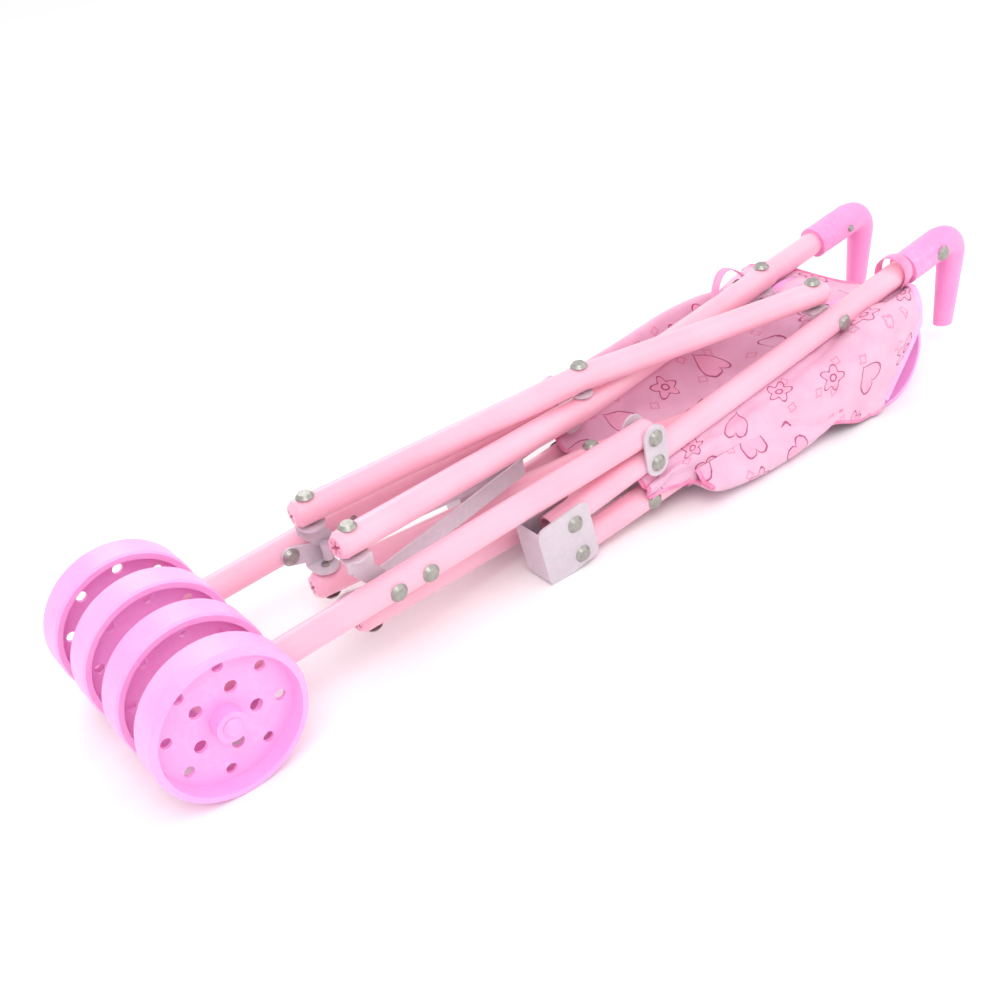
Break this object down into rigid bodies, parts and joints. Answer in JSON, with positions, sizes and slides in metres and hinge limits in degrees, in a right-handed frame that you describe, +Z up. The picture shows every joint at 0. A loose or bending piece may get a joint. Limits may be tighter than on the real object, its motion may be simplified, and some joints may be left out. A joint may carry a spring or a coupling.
{
  "type": "doll stroller",
  "caption": "Folding toy stroller for dolls with hook handles, crossed tube frame, twin wheels and a cloth sling seat, shown folded flat.",
  "frame": {"origin": "on the ground under the middle of the folded stroller's bounding box", "axes": "+X from the rear wheels to the handles, +Y to the stroller's left, +Z up from the ground it lies on"},
  "size_m": [0.5697, 0.1234, 0.0886],
  "materials": {
    "pink_tube": "gloss",
    "wheel_plastic": "semi-gloss, slightly translucent",
    "grip_plastic": "semi-gloss",
    "white_plastic": "satin",
    "rivet_steel": "satin",
    "printed_cloth": "woven, printed"
  },
  "bodies": {
    "back_frame_right": {"back_tube_right": "pink_tube", "back_tube_rivets_right": "rivet_steel", "handle_grip_right": "grip_plastic", "seat_sling": "printed_cloth"},
    "link_right": {"link_straps_right": "white_plastic"},
    "rear_leg_right": {"rear_leg_right": "pink_tube", "rear_leg_rivets_right": "rivet_steel", "rear_axle_right": "wheel_plastic"},
    "rear_wheels_right": {"rear_wheel_outer_right": "wheel_plastic", "rear_wheel_inner_right": "wheel_plastic"},
    "knee_right": {"knee_strap_right": "white_plastic"},
    "front_leg_right": {"front_leg_right": "pink_tube", "front_leg_rivets_right": "rivet_steel", "front_axle_right": "wheel_plastic"},
    "front_wheels_right": {"front_wheel_outer_right": "wheel_plastic", "front_wheel_inner_right": "wheel_plastic"},
    "top_tab_right": {"top_tab_right": "white_plastic"},
    "upper_cross_right": {"upper_cross_tube_right": "pink_tube", "upper_cross_rivets_right": "rivet_steel", "upper_cross_pivot": "rivet_steel", "upper_cross_spacer": "white_plastic"},
    "upper_foot_tab_left": {"upper_foot_tab_left": "white_plastic"},
    "rear_leg_tab_right": {"rear_leg_tab_right": "white_plastic"},
    "lower_cross_right": {"lower_cross_tube_right": "pink_tube", "lower_cross_rivets_right": "rivet_steel"},
    "front_leg_tab_left": {"front_leg_tab_left": "white_plastic"},
    "cross_strap_right": {"cross_strap_right": "white_plastic"},
    "back_frame_left": {"back_tube_left": "pink_tube", "back_tube_rivets_left": "rivet_steel", "handle_grip_left": "grip_plastic"},
    "link_left": {"link_straps_left": "white_plastic"},
    "rear_leg_left": {"rear_leg_left": "pink_tube", "rear_leg_rivets_left": "rivet_steel", "rear_axle_left": "wheel_plastic"},
    "rear_wheels_left": {"rear_wheel_outer_left": "wheel_plastic", "rear_wheel_inner_left": "wheel_plastic"},
    "knee_left": {"knee_strap_left": "white_plastic"},
    "front_leg_left": {"front_leg_left": "pink_tube", "front_leg_rivets_left": "rivet_steel", "front_axle_left": "wheel_plastic"},
    "front_wheels_left": {"front_wheel_outer_left": "wheel_plastic", "front_wheel_inner_left": "wheel_plastic"},
    "top_tab_left": {"top_tab_left": "white_plastic"},
    "upper_cross_left": {"upper_cross_tube_left": "pink_tube", "upper_cross_rivets_left": "rivet_steel"},
    "upper_foot_tab_right": {"upper_foot_tab_right": "white_plastic"},
    "rear_leg_tab_left": {"rear_leg_tab_left": "white_plastic"},
    "lower_cross_left": {"lower_cross_tube_left": "pink_tube", "lower_cross_rivets_left": "rivet_steel", "lower_cross_pivot": "rivet_steel", "lower_cross_spacer": "white_plastic"},
    "front_leg_tab_right": {"front_leg_tab_right": "white_plastic"},
    "cross_strap_left": {"cross_strap_left": "white_plastic"}
  },
  "joints": [
    {"name": "frame_spread", "type": "slide", "parent": "back_frame_right", "child": "back_frame_left", "axis": [0, 1, 0], "range_m": [0, 0.10122], "deforming": ["seat_sling", "cross_strap_right", "cross_strap_left"]},
    {"name": "link_turn_right", "type": "hinge", "parent": "back_frame_right", "child": "link_right", "pos_m": [0.0174, -0.0345, 0.03747], "axis": [0, 1, 0], "range_deg": [0, 12.02]},
    {"name": "rear_leg_swing_right", "type": "hinge", "parent": "link_right", "child": "rear_leg_right", "pos_m": [0.0165, -0.0345, 0.05294], "axis": [0, 1, 0], "range_deg": [0, 36.02]},
    {"name": "knee_turn_right", "type": "hinge", "parent": "back_frame_right", "child": "knee_right", "pos_m": [-0.04195, -0.0345, 0.02866], "axis": [0, 1, 0], "range_deg": [0, 76.45]},
    {"name": "front_leg_swing_right", "type": "hinge", "parent": "knee_right", "child": "front_leg_right", "pos_m": [-0.03901, -0.0345, 0.00887], "axis": [0, 1, 0], "range_deg": [0, 76.45]},
    {"name": "top_tab_turn_right", "type": "hinge", "parent": "back_frame_right", "child": "top_tab_right", "pos_m": [0.16815, -0.0345, 0.05986], "axis": [0, 1, 0], "range_deg": [0, 25.47]},
    {"name": "upper_cross_open_right", "type": "hinge", "parent": "top_tab_right", "child": "upper_cross_right", "pos_m": [0.16637, -0.0195, 0.07183], "axis": [-0.0134, 0, 0.9999], "range_deg": [-18.46, 0]},
    {"name": "upper_foot_tab_turn_left", "type": "hinge", "parent": "upper_cross_right", "child": "upper_foot_tab_left", "pos_m": [-0.15545, 0.0195, 0.06753], "axis": [-0.0134, 0, 0.9999], "range_deg": [0, 18.46]},
    {"name": "rear_leg_tab_turn_right", "type": "hinge", "parent": "rear_leg_right", "child": "rear_leg_tab_right", "pos_m": [-0.16769, -0.0345, 0.04217], "axis": [0, 1, 0], "range_deg": [0, 59.62]},
    {"name": "lower_cross_open_right", "type": "hinge", "parent": "rear_leg_tab_right", "child": "lower_cross_right", "pos_m": [-0.15354, -0.0195, 0.02296], "axis": [0.0222, 0, 0.9998], "range_deg": [0, 19.85]},
    {"name": "front_leg_tab_turn_left", "type": "hinge", "parent": "lower_cross_right", "child": "front_leg_tab_left", "pos_m": [0.14408, 0.0165, 0.01635], "axis": [0.0222, 0, 0.9998], "range_deg": [-19.85, 0]},
    {"name": "cross_strap_turn_right", "type": "hinge", "parent": "rear_leg_right", "child": "cross_strap_right", "pos_m": [-0.15051, -0.0205, 0.03967], "axis": [-0.0584, 0, 0.9983], "range_deg": [0, 28.59]},
    {"name": "rear_wheels_spin_right", "type": "hinge", "parent": "rear_leg_right", "child": "rear_wheels_right", "pos_m": [-0.24755, -0.0345, 0.0375], "axis": [0, 1, 0], "continuous": true},
    {"name": "front_wheels_spin_right", "type": "hinge", "parent": "front_leg_right", "child": "front_wheels_right", "pos_m": [0.19103, -0.0345, 0.03], "axis": [0, 1, 0], "continuous": true},
    {"name": "link_turn_left", "type": "hinge", "parent": "back_frame_left", "child": "link_left", "pos_m": [0.0174, 0.0345, 0.03747], "axis": [0, 1, 0], "range_deg": [0, 12.02]},
    {"name": "rear_leg_swing_left", "type": "hinge", "parent": "link_left", "child": "rear_leg_left", "pos_m": [0.0165, 0.0345, 0.05294], "axis": [0, 1, 0], "range_deg": [0, 36.02]},
    {"name": "knee_turn_left", "type": "hinge", "parent": "back_frame_left", "child": "knee_left", "pos_m": [-0.04195, 0.0345, 0.02866], "axis": [0, 1, 0], "range_deg": [0, 76.45]},
    {"name": "front_leg_swing_left", "type": "hinge", "parent": "knee_left", "child": "front_leg_left", "pos_m": [-0.03901, 0.0345, 0.00887], "axis": [0, 1, 0], "range_deg": [0, 76.45]},
    {"name": "top_tab_turn_left", "type": "hinge", "parent": "back_frame_left", "child": "top_tab_left", "pos_m": [0.16815, 0.0345, 0.05986], "axis": [0, 1, 0], "range_deg": [0, 25.47]},
    {"name": "upper_cross_open_left", "type": "hinge", "parent": "top_tab_left", "child": "upper_cross_left", "pos_m": [0.16637, 0.0195, 0.07183], "axis": [-0.0134, 0, 0.9999], "range_deg": [0, 18.46]},
    {"name": "upper_foot_tab_turn_right", "type": "hinge", "parent": "upper_cross_left", "child": "upper_foot_tab_right", "pos_m": [-0.15545, -0.0195, 0.06753], "axis": [-0.0134, 0, 0.9999], "range_deg": [-18.46, 0]},
    {"name": "rear_leg_tab_turn_left", "type": "hinge", "parent": "rear_leg_left", "child": "rear_leg_tab_left", "pos_m": [-0.16769, 0.0345, 0.04217], "axis": [0, 1, 0], "range_deg": [0, 59.62]},
    {"name": "lower_cross_open_left", "type": "hinge", "parent": "rear_leg_tab_left", "child": "lower_cross_left", "pos_m": [-0.15354, 0.0195, 0.02296], "axis": [0.0222, 0, 0.9998], "range_deg": [-19.85, 0]},
    {"name": "front_leg_tab_turn_right", "type": "hinge", "parent": "lower_cross_left", "child": "front_leg_tab_right", "pos_m": [0.14408, -0.0165, 0.01635], "axis": [0.0222, 0, 0.9998], "range_deg": [0, 19.85]},
    {"name": "cross_strap_turn_left", "type": "hinge", "parent": "rear_leg_left", "child": "cross_strap_left", "pos_m": [-0.15051, 0.0205, 0.03967], "axis": [-0.0584, 0, 0.9983], "range_deg": [-28.59, 0]},
    {"name": "rear_wheels_spin_left", "type": "hinge", "parent": "rear_leg_left", "child": "rear_wheels_left", "pos_m": [-0.24755, 0.0345, 0.0375], "axis": [0, 1, 0], "continuous": true},
    {"name": "front_wheels_spin_left", "type": "hinge", "parent": "front_leg_left", "child": "front_wheels_left", "pos_m": [0.19103, 0.0345, 0.03], "axis": [0, 1, 0], "continuous": true}
  ],
  "couplings": [
    {"joint": "link_turn_right", "follows": "frame_spread", "rad_per_m": 2.0691},
    {"joint": "rear_leg_swing_right", "follows": "frame_spread", "rad_per_m": 6.2074},
    {"joint": "knee_turn_right", "follows": "frame_spread", "rad_per_m": 13.179},
    {"joint": "front_leg_swing_right", "follows": "frame_spread", "rad_per_m": 13.179},
    {"joint": "top_tab_turn_right", "follows": "frame_spread", "rad_per_m": 4.3882},
    {"joint": "upper_cross_open_right", "follows": "frame_spread", "rad_per_m": -3.1791},
    {"joint": "upper_foot_tab_turn_left", "follows": "frame_spread", "rad_per_m": 3.1791},
    {"joint": "rear_leg_tab_turn_right", "follows": "frame_spread", "rad_per_m": 10.276},
    {"joint": "lower_cross_open_right", "follows": "frame_spread", "rad_per_m": 3.4192},
    {"joint": "front_leg_tab_turn_left", "follows": "frame_spread", "rad_per_m": -3.4192},
    {"joint": "cross_strap_turn_right", "follows": "frame_spread", "rad_per_m": 4.9259},
    {"joint": "link_turn_left", "follows": "frame_spread", "rad_per_m": 2.0691},
    {"joint": "rear_leg_swing_left", "follows": "frame_spread", "rad_per_m": 6.2074},
    {"joint": "knee_turn_left", "follows": "frame_spread", "rad_per_m": 13.179},
    {"joint": "front_leg_swing_left", "follows": "frame_spread", "rad_per_m": 13.179},
    {"joint": "top_tab_turn_left", "follows": "frame_spread", "rad_per_m": 4.3882},
    {"joint": "upper_cross_open_left", "follows": "frame_spread", "rad_per_m": 3.1791},
    {"joint": "upper_foot_tab_turn_right", "follows": "frame_spread", "rad_per_m": -3.1791},
    {"joint": "rear_leg_tab_turn_left", "follows": "frame_spread", "rad_per_m": 10.276},
    {"joint": "lower_cross_open_left", "follows": "frame_spread", "rad_per_m": -3.4192},
    {"joint": "front_leg_tab_turn_right", "follows": "frame_spread", "rad_per_m": 3.4192},
    {"joint": "cross_strap_turn_left", "follows": "frame_spread", "rad_per_m": -4.9259}
  ]
}
